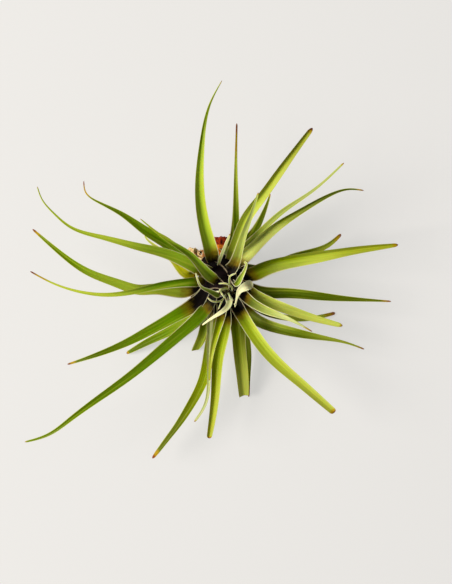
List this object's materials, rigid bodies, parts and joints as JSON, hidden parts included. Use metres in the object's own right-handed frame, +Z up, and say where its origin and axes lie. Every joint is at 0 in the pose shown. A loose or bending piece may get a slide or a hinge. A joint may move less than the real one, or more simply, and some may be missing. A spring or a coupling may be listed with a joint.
{
  "type": "air plant",
  "caption": "Air plant picked with its roots off: a rosette of long channelled green leaves round a short leaning stem, with small curled leaves in the heart.",
  "frame": {"origin": "centre of the flat spot under the stem, on the surface that the plant rests on", "axes": "+Z up, away from that surface; +X towards the right and +Y towards the top of the picture, which looks straight down"},
  "size_m": [0.2397, 0.2424, 0.0906],
  "materials": {
    "leaf_green": "satin leaf, mid green",
    "leaf_dark": "satin leaf, dark green",
    "leaf_pale": "matt leaf, pale yellow-green",
    "leaf_yellow": "ageing leaf, yellow",
    "heart_leaf": "matt young leaf, silvery yellow-green",
    "dry_scale": "matt, dry and papery",
    "stem": "matt, dark red-brown and woody"
  },
  "bodies": {
    "root": {"dry_scale_1": "dry_scale", "dry_scale_2": "dry_scale", "dry_scale_3": "dry_scale", "dry_scale_4": "dry_scale", "heart_bud": "heart_leaf", "heart_leaf_1": "heart_leaf", "heart_leaf_2": "heart_leaf", "heart_leaf_3": "heart_leaf", "heart_leaf_4": "heart_leaf", "inner_leaf_1": "leaf_dark", "inner_leaf_10": "leaf_green", "inner_leaf_2": "leaf_pale", "inner_leaf_3": "leaf_green", "inner_leaf_4": "leaf_green", "inner_leaf_5": "leaf_green", "inner_leaf_6": "leaf_green", "inner_leaf_7": "leaf_pale", "inner_leaf_8": "leaf_pale", "inner_leaf_9": "leaf_green", "middle_leaf_1": "leaf_pale", "middle_leaf_10": "leaf_green", "middle_leaf_11": "leaf_green", "middle_leaf_12": "leaf_green", "middle_leaf_2": "leaf_dark", "middle_leaf_3": "leaf_green", "middle_leaf_4": "leaf_pale", "middle_leaf_5": "leaf_green", "middle_leaf_6": "leaf_green", "middle_leaf_7": "leaf_green", "middle_leaf_8": "leaf_green", "middle_leaf_9": "leaf_dark", "outer_leaf_1": "leaf_dark", "outer_leaf_2": "leaf_dark", "outer_leaf_3": "leaf_dark", "outer_leaf_4": "leaf_dark", "outer_leaf_5": "leaf_yellow", "outer_leaf_6": "leaf_dark", "outer_leaf_7": "leaf_dark", "outer_leaf_8": "leaf_green", "outer_leaf_9": "leaf_green", "stem": "stem"}
  },
  "joints": []
}
